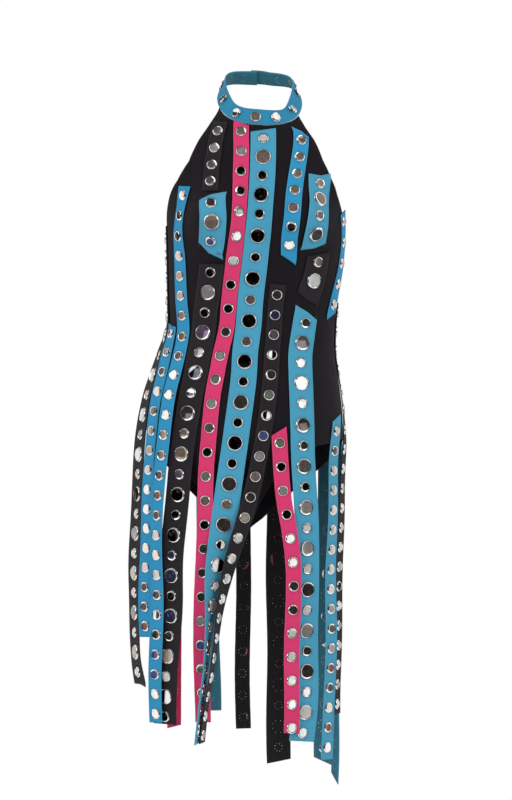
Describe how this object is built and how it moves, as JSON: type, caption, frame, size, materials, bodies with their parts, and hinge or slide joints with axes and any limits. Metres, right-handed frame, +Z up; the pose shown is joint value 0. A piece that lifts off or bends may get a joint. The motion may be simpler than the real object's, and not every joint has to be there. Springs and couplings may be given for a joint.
{
  "type": "stage costume dress",
  "caption": "Halter-neck leotard with a mirrored stand-up collar and long cloth strips set with round mirrors that hang loose to the knee.",
  "frame": {"origin": "the middle of the ring of the collar, where the wearer's neck holds the garment up", "axes": "+Z up, front of the garment towards -Y, +X to the right as seen from the front"},
  "size_m": [0.3304, 0.2651, 1.0833],
  "materials": {
    "leotard_cloth": "matt black stretch knit",
    "turquoise_cloth": "matt turquoise stretch cloth",
    "pink_cloth": "matt bright pink stretch cloth",
    "black_cloth": "matt black stretch cloth",
    "mirror_glass": "silvered flat glass",
    "snap_metal": "bright plated metal, for the snap and the mirrors' rims"
  },
  "bodies": {
    "root": {"front_panel": "leotard_cloth", "back_panel": "leotard_cloth", "collar": "turquoise_cloth", "collar_snap": "snap_metal", "black_strip_chest": "black_cloth", "turquoise_patch_chest": "turquoise_cloth", "black_strip_waist": "black_cloth", "pink_strip_front": "pink_cloth", "turquoise_strip_centre": "turquoise_cloth", "black_strip_centre": "black_cloth", "turquoise_strip_bust": "turquoise_cloth", "turquoise_patch_bust": "turquoise_cloth", "black_patch_ribs": "black_cloth", "turquoise_strip_hip": "turquoise_cloth", "turquoise_strip_side": "turquoise_cloth", "turquoise_strip_thigh": "turquoise_cloth", "pink_strip_thigh": "pink_cloth", "turquoise_strip_left": "turquoise_cloth", "turquoise_strip_left_hip": "turquoise_cloth", "black_strip_left_side": "black_cloth", "black_strip_right_side": "black_cloth", "back_turquoise_left": "turquoise_cloth", "back_pink": "pink_cloth", "back_turquoise_wide": "turquoise_cloth", "back_black_narrow": "black_cloth", "back_black_wide": "black_cloth", "back_black_side": "black_cloth", "back_turquoise_hip": "turquoise_cloth", "back_turquoise_side": "turquoise_cloth"}
  },
  "joints": []
}
